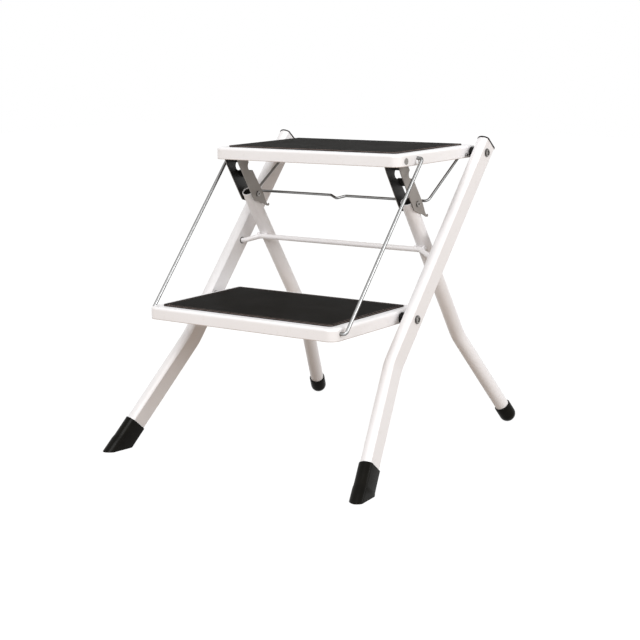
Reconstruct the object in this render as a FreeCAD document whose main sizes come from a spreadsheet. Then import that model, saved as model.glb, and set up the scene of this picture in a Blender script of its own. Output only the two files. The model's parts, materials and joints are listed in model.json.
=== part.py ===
import FreeCAD, Part
import Sketcher
import math
import os
import re

# A folding step stool in millimetres: X to the right, Y to the back, Z up.
# The floor is Z = 0 and the middle of the footprint is X = 0, Y = 0.

Vector = FreeCAD.Vector
doc = FreeCAD.newDocument("StepStool")

# Driving sizes, in millimetres and degrees
SIZES = {
    # heights and slopes of the frame
    "tread_height": 450,
    "riser": 224,
    "pivot_below_tread": 156.2,
    "front_lean": 48.8,
    "rear_lean": 57.6,
    # outward bends of the legs
    "bend_below_step": 53,
    "front_splay": 10.4,
    "rear_splay": 13.6,
    "bend_radius": 85,
    # front leg tube, a D whose round side faces forward
    "front_leg_x": 188.5,
    "front_tube_width": 17.4,
    "front_tube_rear": 14.8,
    "front_tube_side": 11.4,
    "front_tube_peak": 15,
    "tube_corner": 2.2,
    "front_stub": 17.6,
    # rear leg tube, round
    "rear_leg_x": 148.5,
    "rear_tube_width": 22,
    "rear_leg_offset": 28.6,
    "tube_wall": 1.5,
    # treads
    "pan_width": 340.6,
    "pan_depth": 215,
    "pan_height": 18,
    "pan_gauge": 1.2,
    "pan_front_corner": 15,
    "pan_rear_corner": 6,
    "pan_edge": 4,
    "pivot_drop": 10.5,
    "top_pan_overhang": 13.2,
    "lower_pan_overhang": 46.8,
    "mat_width": 310,
    "mat_depth": 184,
    "mat_thickness": 2,
    "mat_front_corner": 7,
    "mat_rear_corner": 2,
    "mat_border": 5,
    "mat_groove": 1.2,
    "mat_groove_depth": 0.5,
    # struts, the channels from the top tread to the knees
    "strut_reach": 181.7,
    "knee_along": 71.8,
    "knee_back": 3.8,
    "knee_stub": 7.8,
    "strut_gauge": 1.5,
    "strut_side_gap": 0.4,
    "strut_rear": 11,
    "strut_front": 10,
    "strut_top": 8,
    "strut_shoulder": 14,
    "strut_web_top": 15,
    "strut_web_end": 55,
    "strut_notch": 8,
    "strut_notch_out": 1,
    "strut_notch_drop": 33,
    "strut_cheek": 13,
    "cheek_above": 6,
    "cheek_below": 2.5,
    "strut_slant": 5.4,
    "slant_below": 12,
    "rear_below": 6,
    "strut_tail": 31.5,
    "tail_width": 9,
    "tail_rise": 9.8,
    "hook_reach": 1.4,
    "hook_width": 4.2,
    "hook_drop": 1.2,
    "hook_gauge": 2.2,
    "hook_neck": 2.6,
    # rivets and spacers
    "rivet_diameter": 8,
    "rivet_head": 12.5,
    "rivet_head_height": 2.4,
    "rivet_round": 1,
    "rivet_recess": 6,
    "rivet_recess_depth": 1.2,
    "rivet_recess_flare": 0.6,
    "small_rivet": 6,
    "small_rivet_head": 9.5,
    "small_rivet_height": 1.6,
    "small_rivet_round": 0.6,
    "small_recess": 2.8,
    "small_recess_depth": 1,
    "small_recess_flare": 0.4,
    "flush_head_height": 0.4,
    "bush_wall": 1.5,
    "sleeve_wall": 1.5,
    "spacer_diameter": 17,
    "spacer_round": 1,
    "clearance": 0.3,
    "fit": 0.15,
    # cross rod and wires
    "rod_diameter": 8,
    "rod_end_x": 191,
    "rod_crank_inner": 150.5,
    "rod_crank_outer": 171,
    "link_reach": 152,
    "link_rise": 2.5,
    "link_wire": 5,
    "link_bend": 4.5,
    "link_gap": 1.7,
    "link_slide": 4.5,
    "link_end_x": 165.5,
    "link_slot": 5.4,
    "latch_reach": 16.9,
    "latch_drop": 2.9,
    "latch_arm": 111.2,
    "latch_arm_x": 161.2,
    "latch_wire": 4,
    "latch_bend": 6,
    "latch_end_x": 174,
    "latch_dip": 7,
    "latch_dip_half": 10,
    "latch_lean": 56.6,
    # boots and caps
    "boot_length": 49.2,
    "boot_wall": 1.9,
    "boot_flare": 1.5,
    "cap_above": 16.6,
    "cap_straight": 1.9,
    "cap_wall": 2,
    "tube_end_height": 14,
    "plug_depth": 12,
    "plug_rim": 0.9,
    "plug_lip": 1.8,
    "plug_sink": 1.2,
}

# Sizes that follow from the driving ones; side view positions count from the main pivot, along Y
LAYOUT = {
    "top_z": "tread_height - mat_thickness - pivot_drop",
    "main_pivot_height": "tread_height - pivot_below_tread",
    "top_y": "(top_z - main_pivot_height) / tan(front_lean)",
    "low_z": "top_z - riser",
    "low_y": "(low_z - main_pivot_height) / tan(front_lean)",
    "bend_height": "low_z - bend_below_step",
    "link_length": "riser / sin(front_lean)",
    # front leg: its top end, its straight run, and its lower end
    "front_top_y": "top_y + front_stub * cos(front_lean)",
    "front_top_z": "top_z + front_stub * sin(front_lean)",
    "front_run": "(front_top_z - bend_height) / sin(front_lean)",
    "front_reach": "((bend_height - tube_end_height) / sin(front_lean)"
                   " - bend_radius * sin(front_splay)) / cos(front_splay)",
    "front_end_x": "bend_radius * (1 - cos(front_splay)) + front_reach * sin(front_splay)",
    "front_end_down": "front_run + bend_radius * sin(front_splay) + front_reach * cos(front_splay)",
    "front_end_y": "front_top_y - front_end_down * cos(front_lean)",
    # rear leg, the same
    "rear_tube_radius": "rear_tube_width / 2",
    "rear_top_y": "rear_leg_offset * sin(rear_lean) - (knee_along + knee_stub) * cos(rear_lean)",
    "rear_top_z": "main_pivot_height + rear_leg_offset * cos(rear_lean)"
                  " + (knee_along + knee_stub) * sin(rear_lean)",
    "rear_run": "(rear_top_z - bend_height) / sin(rear_lean)",
    "rear_reach": "((bend_height - tube_end_height) / sin(rear_lean)"
                  " - bend_radius * sin(rear_splay)) / cos(rear_splay)",
    "rear_end_x": "bend_radius * (1 - cos(rear_splay)) + rear_reach * sin(rear_splay)",
    "rear_end_down": "rear_run + bend_radius * sin(rear_splay) + rear_reach * cos(rear_splay)",
    "rear_end_y": "rear_top_y + rear_end_down * cos(rear_lean)",
    # strut: its upper and lower pivots
    "knee_y": "(rear_leg_offset + knee_back) * sin(rear_lean) - knee_along * cos(rear_lean)",
    "knee_z": "main_pivot_height + (rear_leg_offset + knee_back) * cos(rear_lean)"
              " + knee_along * sin(rear_lean)",
    "strut_y": "top_y - strut_reach",
    "strut_length": "sqrt((knee_y - strut_y)^2 + (top_z - knee_z)^2)",
    "strut_lean": "atan((knee_y - strut_y) / (top_z - knee_z))",
    "strut_inner_half": "rear_tube_radius + strut_side_gap",
    "strut_half": "strut_inner_half + strut_gauge",
    # faces along X
    "pan_half": "pan_width / 2",
    "pan_inner_half": "pan_half - pan_gauge",
    "front_leg_inner": "front_leg_x - front_tube_width / 2",
    "front_leg_outer": "front_leg_x + front_tube_width / 2",
    "link_x": "pan_half + link_gap + link_slide + link_wire / 2",
    "sleeve_radius": "small_rivet / 2 + sleeve_wall",
    "mat_margin": "(pan_depth - mat_depth) / 2",
    # crank of the cross rod
    "rod_offset": "rear_leg_offset - rear_tube_radius - rod_diameter / 2",
    "rod_middle": "(rod_crank_outer + rod_crank_inner) / 2",
    "rod_turn": "((rod_crank_outer - rod_middle)^2 + (rod_offset / 2)^2) / rod_offset",
    "dip_turn": "(latch_dip_half^2 + latch_dip^2) / (4 * latch_dip)",
    # boots
    "boot_below": "tube_end_height / (sin(front_lean) * cos(front_splay))",
    "boot_above": "boot_length - boot_below",
    "boot_taper": "atan(boot_flare / boot_length)",
}

words = {}
sizes = doc.addObject("Spreadsheet::Sheet", "Sizes")
layout = doc.addObject("Spreadsheet::Sheet", "Layout")


def expression(formula):
    """Put the sheet's name before every size that a formula uses."""
    def full_name(match):
        word = match.group(0)
        return words.get(word, "") + word
    return re.sub(r"[a-z][a-z_]*", full_name, formula)


def fill_sheets():
    for row, (name, number) in enumerate(SIZES.items(), 1):
        sizes.set(f"A{row}", name)
        sizes.set(f"B{row}", str(number))
        sizes.setAlias(f"B{row}", name)
        words[name] = "Sizes."
    for row, (name, formula) in enumerate(LAYOUT.items(), 1):
        layout.set(f"A{row}", name)
        layout.set(f"B{row}", "=" + expression(formula))
        layout.setAlias(f"B{row}", name)
        words[name] = "Layout."
    doc.recompute()


def amount(formula):
    """The number that a formula gives with the present sizes."""
    layout.set("D1", "=" + expression(formula))
    layout.recompute()
    return float(layout.get("D1"))


# Sketching helpers: positions are formulas, and each one becomes a constraint tied to the sheets

def new_sketch(body, name, role):
    plane = next(item for item in body.Origin.OriginFeatures if item.Role == role)
    sketch = body.newObject("Sketcher::SketchObject", name)
    sketch.AttachmentSupport = (plane, [""])
    sketch.MapMode = "FlatFace"
    return sketch


def tie(sketch, constraint, formula):
    index = sketch.addConstraint(constraint)
    sketch.setExpression(f"Constraints[{index}]", expression(formula))


def fix_point(sketch, line, end, across, along):
    """Hold one end of a line or arc at the formulas across and along."""
    for kind, axis, formula in (("DistanceX", -2, across), ("DistanceY", -1, along)):
        if formula == "0":
            sketch.addConstraint(Sketcher.Constraint("PointOnObject", line, end, axis))
        else:
            number = amount(formula)
            tie(sketch, Sketcher.Constraint(kind, -1, 1, line, end, number), formula)


def arc_between(start, finish, radius, turn):
    """The shorter arc from start to finish; turn is 1 for anticlockwise and -1 for clockwise."""
    chord = finish - start
    left = Vector(-chord.y, chord.x, 0).normalize()
    rise = math.sqrt(max(radius ** 2 - (chord.Length / 2) ** 2, 0))
    middle = (start + finish) / 2
    centre = middle + left * rise * turn
    return Part.Arc(start, centre - left * radius * turn, finish)


def draw(sketch, start, steps, closed=True):
    """Draw a chain of lines and arcs.

    start is a pair of formulas. A step is a pair for a line's end, or a pair
    with a radius and a turn for an arc's end.
    """
    corners = [start] + [step[:2] for step in steps]
    points = [Vector(amount(x), amount(y), 0) for x, y in corners]
    chain = []
    for number, step in enumerate(steps):
        here, there = points[number], points[number + 1]
        if len(step) == 2:
            line = sketch.addGeometry(Part.LineSegment(here, there))
            chain.append((line, 1, 2))
            continue
        arc = arc_between(here, there, amount(step[2]), step[3])
        line = sketch.addGeometry(arc)
        ends = (1, 2) if step[3] > 0 else (2, 1)
        chain.append((line, *ends))
        tie(sketch, Sketcher.Constraint("Radius", line, amount(step[2])), step[2])
    for number, (line, first, last) in enumerate(chain):
        fix_point(sketch, line, first, *corners[number])
        if number + 1 < len(chain) or closed:
            after = chain[(number + 1) % len(chain)]
            sketch.addConstraint(Sketcher.Constraint("Coincident", line, last, after[0], after[1]))
        else:
            fix_point(sketch, line, last, *corners[-1])


def draw_circle(sketch, across, along, radius):
    centre = Vector(amount(across), amount(along), 0)
    circle = Part.Circle(centre, Vector(0, 0, 1), amount(radius))
    line = sketch.addGeometry(circle)
    fix_point(sketch, line, 3, across, along)
    tie(sketch, Sketcher.Constraint("Radius", line, amount(radius)), radius)


def draw_slot(sketch, across, along, radius, length):
    """A slot whose upper end is centred on a point; its lower end is that much further down."""
    low = f"{along} - {length}"
    draw(sketch, (f"{across} - ({radius})", along), [
        (f"{across} - ({radius})", low),
        (across, f"{low} - ({radius})", radius, 1),
        (f"{across} + ({radius})", low, radius, 1),
        (f"{across} + ({radius})", along),
        (across, f"{along} + ({radius})", radius, 1),
        (f"{across} - ({radius})", along, radius, 1),
    ])


def draw_rounded(sketch, half_width, front, rear, front_corner, rear_corner):
    """A rectangle with round corners, half_width to each side, from front to rear."""
    draw(sketch, (half_width, f"{front} + {front_corner}"), [
        (half_width, f"{rear} - {rear_corner}"),
        (f"{half_width} - {rear_corner}", rear, rear_corner, 1),
        (f"-({half_width}) + {rear_corner}", rear),
        (f"-({half_width})", f"{rear} - {rear_corner}", rear_corner, 1),
        (f"-({half_width})", f"{front} + {front_corner}"),
        (f"-({half_width}) + {front_corner}", front, front_corner, 1),
        (f"{half_width} - {front_corner}", front),
        (half_width, f"{front} + {front_corner}", front_corner, 1),
    ])


def draw_tube_section(sketch, tube, grow):
    """The section of the round rear tube or the D of the front tube, larger all round by grow."""
    if tube == "rear":
        draw_circle(sketch, "0", "0", f"rear_tube_radius + {grow}")
        return
    half = f"front_tube_width / 2 + {grow}"
    rear = f"front_tube_rear + {grow}"
    peak = f"front_tube_peak + {grow}"
    corner = f"tube_corner + {grow}"
    side = "front_tube_side"
    nose = f"(({half})^2 + ({peak} - {side})^2) / (2 * ({peak} - {side}))"
    draw(sketch, (half, f"-{side}"), [
        (half, f"{rear} - ({corner})"),
        (f"{half} - ({corner})", rear, corner, 1),
        (f"-({half}) + {corner}", rear),
        (f"-({half})", f"{rear} - ({corner})", corner, 1),
        (f"-({half})", f"-{side}"),
        (half, f"-{side}", nose, 1),
    ])


# Feature helpers

def new_body(name):
    return doc.addObject("PartDesign::Body", name)


def pad(body, name, sketch, length, both=False, backward=False, taper=None):
    feature = body.newObject("PartDesign::Pad", name)
    feature.Profile = sketch
    feature.SideType = "Symmetric" if both else "One side"
    feature.Reversed = backward
    feature.setExpression("Length", expression(length))
    if taper:
        feature.setExpression("TaperAngle", expression(taper))
    return feature


def pocket(body, name, sketch, length, both=False, backward=False):
    feature = body.newObject("PartDesign::Pocket", name)
    feature.Profile = sketch
    feature.SideType = "Symmetric" if both else "One side"
    feature.Reversed = backward
    feature.setExpression("Length", expression(length))
    return feature


def pipe(body, name, section, path):
    feature = body.newObject("PartDesign::AdditivePipe", name)
    feature.Profile = section
    feature.Spine = path
    return feature


def turned(name, start, steps, plane="XY_Plane", axis="H_Axis"):
    """A body of revolution about X, from its outline of (X, radius) points."""
    body = new_body(name)
    sketch = new_sketch(body, name + "_outline", plane)
    draw(sketch, start, steps)
    feature = body.newObject("PartDesign::Revolution", name + "_turn")
    feature.Profile = sketch
    feature.ReferenceAxis = (sketch, [axis])
    return body


def turned_upright(name, start, steps):
    """A body of revolution about Z, from its outline of (radius, Z) points."""
    return turned(name, start, steps, "XZ_Plane", "V_Axis")


def lift(sketch, height):
    sketch.setExpression("AttachmentOffset.Base.z", expression(height))


pieces = []
placed = []
FLOOR_BLOCK = 2000
MESH_STEP = 0.02
NEAR = 0.001


def place(item, x, y, z, lean="0", splay="0"):
    """Stand an item at formulas x, y, z, leaned about X and then splayed about its own Y."""
    about_x = FreeCAD.Rotation(Vector(1, 0, 0), amount(lean))
    about_y = FreeCAD.Rotation(Vector(0, 1, 0), amount(splay))
    base = Vector(amount(x), amount(y), amount(z))
    item.Placement = FreeCAD.Placement(base, about_x.multiply(about_y))
    placed.append(item)


def keep(item, label):
    item.Label = label
    pieces.append(item)


def mirror(item, label, middle):
    """The same piece on the left side, mirrored about X = middle."""
    twin = doc.addObject("Part::Mirroring", label)
    twin.Source = item
    twin.Normal = Vector(1, 0, 0)
    twin.Base = Vector(amount(middle), 0, 0)
    keep(twin, label)


def keep_pair(item, name, middle="0"):
    keep(item, name + "_right")
    mirror(item, name + "_left", middle)


def trim_at_floor(body, name):
    """Cut away what reaches below the floor."""
    block = doc.addObject("Part::Box", name + "_floor")
    block.Length = block.Width = block.Height = FLOOR_BLOCK
    corner = Vector(-FLOOR_BLOCK / 2, -FLOOR_BLOCK / 2, -FLOOR_BLOCK)
    block.Placement = FreeCAD.Placement(corner, FreeCAD.Rotation())
    cut = doc.addObject("Part::Cut", name)
    cut.Base = body
    cut.Tool = block
    return cut


# Legs

FRONT_LEAN = "front_lean - 90"
REAR_LEAN = "90 - rear_lean"


def leg(tube, holes):
    """A bent tube from its top end down: straight, one bend outward, straight."""
    body = new_body(f"{tube}_leg")
    section = new_sketch(body, f"{tube}_leg_section", "XY_Plane")
    draw_tube_section(section, tube, "0")
    draw_tube_section(section, tube, "-tube_wall")
    path = new_sketch(body, f"{tube}_leg_path", "XZ_Plane")
    lean, splay = f"{tube}_lean", f"{tube}_splay"
    draw(path, ("0", "0"), [
        ("0", f"-{tube}_run"),
        (f"bend_radius * (1 - cos({splay}))", f"-{tube}_run - bend_radius * sin({splay})",
         "bend_radius", 1),
        (f"{tube}_end_x", f"-{tube}_end_down"),
    ], closed=False)
    pipe(body, f"{tube}_leg_tube", section, path)
    for name, depth, radius, both in holes:
        sketch = new_sketch(body, f"{tube}_{name}", "YZ_Plane")
        across = "knee_back" if name == "knee_hole" else "0"
        draw_circle(sketch, across, f"-({depth})", radius)
        pocket(body, f"{tube}_{name}_cut", sketch, f"{tube}_tube_width * 2", both)
    return body


def front_legs():
    body = leg("front", [
        ("top_hole", "front_stub", "rivet_diameter / 2 + fit", True),
        ("lower_hole", "front_stub + link_length", "rivet_diameter / 2 + fit", True),
        ("rod_hole", "front_stub + (top_z - main_pivot_height) / sin(front_lean)",
         "rod_diameter / 2 + clearance", False),
    ])
    place(body, "front_leg_x", "front_top_y", "front_top_z", FRONT_LEAN)
    keep_pair(body, "front_leg")


def rear_legs():
    body = leg("rear", [("knee_hole", "knee_stub", "sleeve_radius + fit", True)])
    place(body, "rear_leg_x", "rear_top_y", "rear_top_z", REAR_LEAN)
    keep_pair(body, "rear_leg")


def front_plugs():
    body = new_body("front_plug")
    stem = new_sketch(body, "front_plug_stem", "XY_Plane")
    draw_tube_section(stem, "front", "-tube_wall - fit")
    pad(body, "front_plug_insert", stem, "plug_depth", backward=True)
    lip = new_sketch(body, "front_plug_rim", "XY_Plane")
    draw_tube_section(lip, "front", "plug_rim")
    pad(body, "front_plug_lip", lip, "plug_lip")
    place(body, "front_leg_x", "front_top_y", "front_top_z", FRONT_LEAN)
    keep_pair(body, "front_plug")


def rear_plugs():
    """A low dome sunk into the open end of the tube, above the knee sleeve."""
    radius = "rear_tube_radius - tube_wall - fit"
    bottom = "sleeve_radius + clearance - knee_stub"
    body = turned_upright("rear_plug", ("0", bottom), [
        (radius, bottom),
        (radius, "-plug_sink"),
        ("0", "0", f"(({radius})^2 + plug_sink^2) / (2 * plug_sink)", 1),
        ("0", bottom),
    ])
    place(body, "rear_leg_x", "rear_top_y", "rear_top_z", REAR_LEAN)
    keep_pair(body, "rear_plug")


def front_feet():
    """Sleeves over the tubes' ends, solid below them; their own origin is the middle of the end."""
    body = new_body("front_foot_body")
    outer = new_sketch(body, "front_foot_outer", "XY_Plane")
    lift(outer, "boot_above")
    draw_tube_section(outer, "front", "boot_wall")
    pad(body, "front_foot_shell", outer, "boot_above + boot_below * 2", backward=True, taper="boot_taper")
    bore = new_sketch(body, "front_foot_bore", "XY_Plane")
    draw_tube_section(bore, "front", "fit")
    pocket(body, "front_foot_hollow", bore, "2 * boot_above", backward=True)
    place(body, "front_leg_x + front_end_x", "front_end_y", "tube_end_height", FRONT_LEAN,
          "-front_splay")
    cut = trim_at_floor(body, "front_foot")
    keep_pair(cut, "front_foot")


def rear_feet():
    """Caps over the tubes' ends, domed below them."""
    bore = "rear_tube_radius + fit"
    rim = "rear_tube_radius + cap_wall"
    body = turned_upright("rear_foot_body", ("0", "0"), [
        (bore, "0"),
        (bore, "cap_above"),
        (rim, "cap_above"),
        (rim, "-cap_straight"),
        ("0", f"-cap_straight - ({rim})", rim, -1),
        ("0", "0"),
    ])
    place(body, "rear_leg_x + rear_end_x", "rear_end_y", "tube_end_height", REAR_LEAN, "-rear_splay")
    cut = trim_at_floor(body, "rear_foot")
    keep_pair(cut, "rear_foot")


# Rivets, spacers and sleeves, all turned about X

def step_rivet(name, y, z):
    inside = "pan_inner_half - clearance"
    outside = "front_leg_outer"
    shank = "rivet_diameter / 2"
    head = "rivet_head / 2"
    tip = f"{outside} + rivet_head_height"
    body = turned(name, (f"{inside} - rivet_head_height", "0"), [
        (f"{inside} - rivet_head_height", head),
        (inside, head),
        (inside, shank),
        (outside, shank),
        (outside, head),
        (f"{tip} - rivet_round", head),
        (tip, f"{head} - rivet_round", "rivet_round", 1),
        (tip, "rivet_recess / 2 + rivet_recess_flare"),
        (f"{tip} - rivet_recess_depth", "rivet_recess / 2"),
        (f"{tip} - rivet_recess_depth", "0"),
        (f"{inside} - rivet_head_height", "0"),
    ])
    place(body, "0", y, z)
    keep_pair(body, name)


def spacer(name, y, z):
    inside = "pan_half + clearance"
    outside = "front_leg_inner"
    bore = "rivet_diameter / 2 + fit"
    rim = "spacer_diameter / 2"
    body = turned(name, (inside, bore), [
        (outside, bore),
        (outside, f"{rim} - spacer_round"),
        (f"{outside} - spacer_round", rim, "spacer_round", 1),
        (f"{inside} + spacer_round", rim),
        (inside, f"{rim} - spacer_round", "spacer_round", 1),
        (inside, bore),
    ])
    place(body, "0", y, z)
    keep_pair(body, name)


def knee_sleeve():
    """The tube through the rear leg on which the strut turns."""
    half = "strut_inner_half - clearance"
    inner = "small_rivet / 2"
    body = turned("knee_sleeve", (f"-({half})", inner), [
        (half, inner),
        (half, "sleeve_radius"),
        (f"-({half})", "sleeve_radius"),
        (f"-({half})", inner),
    ])
    place(body, "rear_leg_x", "knee_y", "knee_z")
    keep_pair(body, "knee_sleeve")


def strut_rivet():
    """The pin that carries the strut on the top tray: flush head, wall, bush, strut, inner head."""
    shank = "small_rivet / 2"
    bush = "small_rivet / 2 + bush_wall"
    head = "small_rivet_head / 2"
    outside = "pan_half + flush_head_height"
    bush_end = "rear_leg_x + strut_half + clearance"
    inside = "rear_leg_x - strut_half - clearance"
    body = turned("strut_rivet", (f"{inside} - small_rivet_height", "0"), [
        (f"{inside} - small_rivet_height", f"{head} - small_rivet_round"),
        (f"{inside} - small_rivet_height + small_rivet_round", head, "small_rivet_round", -1),
        (inside, head),
        (inside, shank),
        (bush_end, shank),
        (bush_end, bush),
        ("pan_inner_half", bush),
        ("pan_inner_half", shank),
        ("pan_half", shank),
        ("pan_half", head),
        (outside, head),
        (outside, "0"),
        (f"{inside} - small_rivet_height", "0"),
    ])
    place(body, "0", "strut_y", "top_z")
    keep_pair(body, "strut_rivet")


def knee_rivet():
    """Two heads, one on each flange of the strut; nothing reaches the leg between them."""
    shank = "small_rivet / 2"
    head = "small_rivet_head / 2"
    tip = "strut_half + small_rivet_height"
    halves = []
    for side, sign, turn in (("outer", "", 1), ("inner", "-", -1)):
        def at(across, sign=sign):
            return f"{sign}({across})"
        body = turned(f"knee_rivet_{side}", (at("strut_inner_half"), "0"), [
            (at("strut_inner_half"), shank),
            (at("strut_half"), shank),
            (at("strut_half"), head),
            (at(f"{tip} - small_rivet_round"), head),
            (at(tip), f"{head} - small_rivet_round", "small_rivet_round", turn),
            (at(tip), "small_recess / 2 + small_recess_flare"),
            (at(f"{tip} - small_recess_depth"), "small_recess / 2"),
            (at(f"{tip} - small_recess_depth"), "0"),
            (at("strut_inner_half"), "0"),
        ])
        place(body, "rear_leg_x", "knee_y", "knee_z")
        halves.append(body)
    pair = doc.addObject("Part::Compound", "knee_rivet")
    pair.Links = halves
    keep_pair(pair, "knee_rivet")


# Treads

def tray(name, overhang, y, z, holes):
    """A pressed tray, open below; its own origin is the pivot, and overhang lies behind it."""
    body = new_body(name)
    front = f"{overhang} - pan_depth"
    outline = new_sketch(body, name + "_outline", "XY_Plane")
    lift(outline, "pivot_drop - pan_height")
    draw_rounded(outline, "pan_half", front, overhang, "pan_front_corner", "pan_rear_corner")
    pad(body, name + "_block", outline, "pan_height")
    doc.recompute()
    top = amount("pivot_drop")
    rim = [f"Edge{number}" for number, edge in enumerate(body.Shape.Edges, 1)
           if all(abs(point.Z - top) < NEAR for point in edge.Vertexes)]
    block = body.Tip
    edge = body.newObject("PartDesign::Fillet", name + "_edge")
    edge.Base = (block, rim)
    edge.setExpression("Radius", expression("pan_edge"))
    doc.recompute()
    below = top - amount("pan_height")
    face = next(f"Face{number}" for number, side in enumerate(body.Shape.Faces, 1)
                if side.BoundBox.ZMax < below + NEAR)
    hollow = body.newObject("PartDesign::Thickness", name + "_hollow")
    hollow.Base = (edge, [face])
    hollow.Reversed = True
    hollow.setExpression("Value", expression("pan_gauge"))
    sketch = new_sketch(body, name + "_holes", "YZ_Plane")
    for across, along, radius, length in holes:
        if length == "0":
            draw_circle(sketch, across, along, radius)
        else:
            draw_slot(sketch, across, along, radius, length)
    pocket(body, name + "_holes_cut", sketch, "pan_width * 2", both=True)
    place(body, "0", y, z)
    keep(body, name)


def mat(name, overhang, y, z):
    """A thin rubber mat with a grooved border line."""
    body = new_body(name)
    front = f"{overhang} - pan_depth + mat_margin"
    rear = f"{overhang} - mat_margin"
    sheet = new_sketch(body, name + "_outline", "XY_Plane")
    lift(sheet, "pivot_drop")
    draw_rounded(sheet, "mat_width / 2", front, rear, "mat_front_corner", "mat_rear_corner")
    pad(body, name + "_sheet", sheet, "mat_thickness")
    line = new_sketch(body, name + "_border", "XY_Plane")
    lift(line, "pivot_drop + mat_thickness")
    for inset in ("mat_border", "mat_border + mat_groove"):
        draw_rounded(line, f"mat_width / 2 - ({inset})", f"{front} + {inset}", f"{rear} - ({inset})",
                     "mat_front_corner", "mat_rear_corner")
    pocket(body, name + "_groove", line, "mat_groove_depth")
    place(body, "0", y, z)
    keep(body, name)


# Struts

def strut():
    """A channel open to the front: its own origin is the upper pivot, and the knee lies below it."""
    body = new_body("strut")
    knee, tail, far = "strut_length", "strut_length + strut_tail", "3 * strut_cheek"
    profile = new_sketch(body, "strut_profile", "YZ_Plane")
    draw(profile, ("-strut_top", "0"), [
        ("-strut_front", "-strut_shoulder"),
        ("-strut_cheek", f"-{knee} + cheek_above"),
        ("-strut_cheek", f"-{knee} - cheek_below"),
        ("-strut_slant", f"-{knee} - slant_below"),
        ("strut_rear - tail_width", f"-({tail}) + tail_rise"),
        ("strut_rear - hook_width", f"-({tail}) + hook_drop"),
        ("strut_rear - hook_drop", f"-({tail}) - hook_drop"),
        ("strut_rear + hook_reach", f"-({tail})"),
        ("strut_rear + hook_reach", f"-({tail}) + hook_gauge"),
        ("strut_rear - hook_neck", f"-({tail}) + hook_gauge"),
        ("strut_rear - hook_neck", f"-({tail}) + tail_rise"),
        ("strut_rear", f"-{knee} - rear_below"),
        ("strut_rear", "-strut_shoulder"),
        ("strut_top", "0"),
        ("0", "strut_top", "strut_top", 1),
        ("-strut_top", "0", "strut_top", 1),
    ])
    pad(body, "strut_block", profile, "2 * strut_half", both=True)
    inside = new_sketch(body, "strut_inside", "YZ_Plane")
    draw(inside, (f"-{far}", far), [
        (f"-{far}", f"-({tail}) - {far}"),
        (far, f"-({tail}) - {far}"),
        (far, "-strut_web_end"),
        ("strut_rear - strut_gauge", "-strut_web_end"),
        ("strut_rear - strut_gauge", "-strut_web_top"),
        (far, "-strut_web_top"),
        (far, far),
        (f"-{far}", far),
    ])
    pocket(body, "strut_channel", inside, "2 * strut_inner_half", both=True)
    holes = new_sketch(body, "strut_holes", "YZ_Plane")
    draw_circle(holes, "0", "0", "small_rivet / 2 + clearance")
    draw_circle(holes, "0", f"-{knee}", "small_rivet / 2 + fit")
    draw_circle(holes, "strut_rear + strut_notch_out", "-strut_notch_drop", "strut_notch")
    pocket(body, "strut_holes_cut", holes, "4 * strut_half", both=True)
    place(body, "rear_leg_x", "strut_y", "top_z", "strut_lean")
    keep_pair(body, "strut")


# Rod and wires

def bent_wire(name, plane, radius, start_x, start, steps):
    """A round wire along a flat path that starts along X at start_x."""
    body = new_body(name)
    section = new_sketch(body, name + "_section", "YZ_Plane")
    lift(section, start_x)
    draw_circle(section, "0", "0", radius)
    path = new_sketch(body, name + "_path", plane)
    draw(path, start, steps, closed=False)
    pipe(body, name + "_run", section, path)
    return body


def cross_rod():
    """Straight behind, cranked forward at both ends to turn in the front legs."""
    middle, half = "rod_middle", "rod_offset / 2"
    body = bent_wire("cross_rod", "XY_Plane", "rod_diameter / 2", "rod_end_x", ("rod_end_x", "0"), [
        ("rod_crank_outer", "0"),
        (middle, half, "rod_turn", -1),
        ("rod_crank_inner", "rod_offset", "rod_turn", 1),
        ("-rod_crank_inner", "rod_offset"),
        (f"-{middle}", half, "rod_turn", 1),
        ("-rod_crank_outer", "0", "rod_turn", -1),
        ("-rod_end_x", "0"),
    ])
    place(body, "0", "0", "main_pivot_height", REAR_LEAN)
    keep(body, "cross_rod")


def link_wires():
    """A straight wire hooked into the trays' side walls; the right one has slid outward in its holes."""
    pin = "link_end_x - link_x"
    low = "-link_length"
    body = bent_wire("link", "XZ_Plane", "link_wire / 2", pin, (pin, "0"), [
        ("-link_bend", "0"),
        ("0", "-link_bend", "link_bend", -1),
        ("0", f"{low} + link_bend"),
        ("-link_bend", low, "link_bend", -1),
        (pin, low),
    ])
    place(body, "link_x", "top_y - link_reach", "top_z + link_rise", FRONT_LEAN)
    keep_pair(body, "link_wire", "link_slide / 2")


def latch():
    """One wire: pin ends in the top tray, two arms, and a bar with a dip for the finger."""
    arm, low, turn = "latch_arm_x", "-latch_arm", "dip_turn"
    dip, half = "latch_dip", "latch_dip_half"
    body = bent_wire("latch", "XZ_Plane", "latch_wire / 2", "latch_end_x", ("latch_end_x", "0"), [
        (f"{arm} + latch_bend", "0"),
        (arm, "-latch_bend", "latch_bend", 1),
        (arm, f"{low} + latch_bend"),
        (f"{arm} - latch_bend", low, "latch_bend", -1),
        (half, low),
        (f"{half} / 2", f"{low} - {dip} / 2", turn, 1),
        ("0", f"{low} - {dip}", turn, -1),
        (f"-{half} / 2", f"{low} - {dip} / 2", turn, -1),
        (f"-{half}", low, turn, 1),
        (f"-{arm} + latch_bend", low),
        (f"-{arm}", f"{low} + latch_bend", "latch_bend", -1),
        (f"-{arm}", "-latch_bend"),
        (f"-{arm} - latch_bend", "0", "latch_bend", 1),
        ("-latch_end_x", "0"),
    ])
    place(body, "0", "top_y - latch_reach", "top_z - latch_drop", "-latch_lean")
    keep(body, "latch_wire")


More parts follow.
